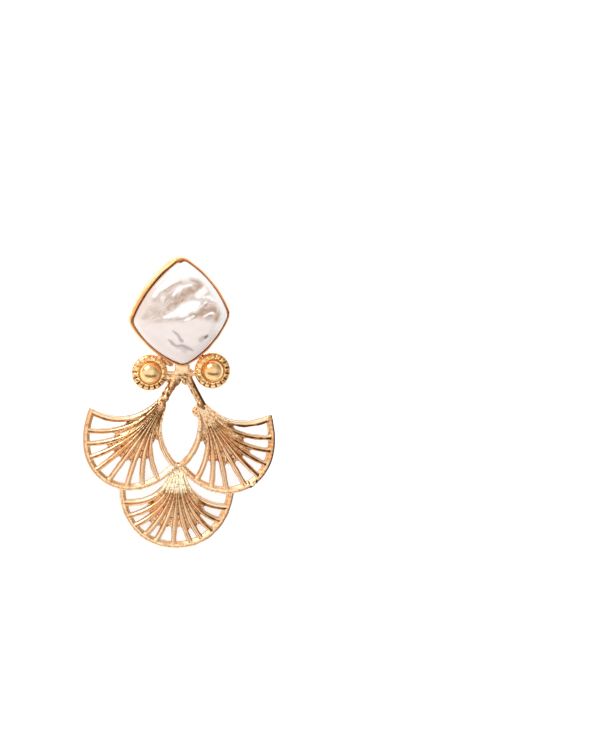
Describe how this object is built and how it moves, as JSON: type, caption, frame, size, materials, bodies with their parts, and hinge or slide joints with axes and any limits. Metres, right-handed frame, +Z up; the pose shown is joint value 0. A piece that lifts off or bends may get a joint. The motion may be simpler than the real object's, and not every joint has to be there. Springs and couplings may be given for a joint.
{
  "type": "fan earring",
  "caption": "Drop stud earring: a shell pearl in a thin diamond cup over domed buttons and pierced cast fans.",
  "frame": {"origin": "bottom centre of the box round the earring as it lies on its back", "axes": "+Y from the tail fan to the top of the cup, +Z up from the surface it lies on, +X to the right of the face"},
  "size_m": [0.0384, 0.0575, 0.0162],
  "materials": {
    "cast_gold": "cast pale gold plate, polished on the ridges, oxidised brown in the grooves",
    "shell_pearl": "glossy wavy nacre, pinkish white with a beige cast",
    "post_gold": "drawn wire, gold plated"
  },
  "bodies": {
    "root": {"metal_frame": "cast_gold", "pearl": "shell_pearl", "ear_post": "post_gold"}
  },
  "joints": []
}
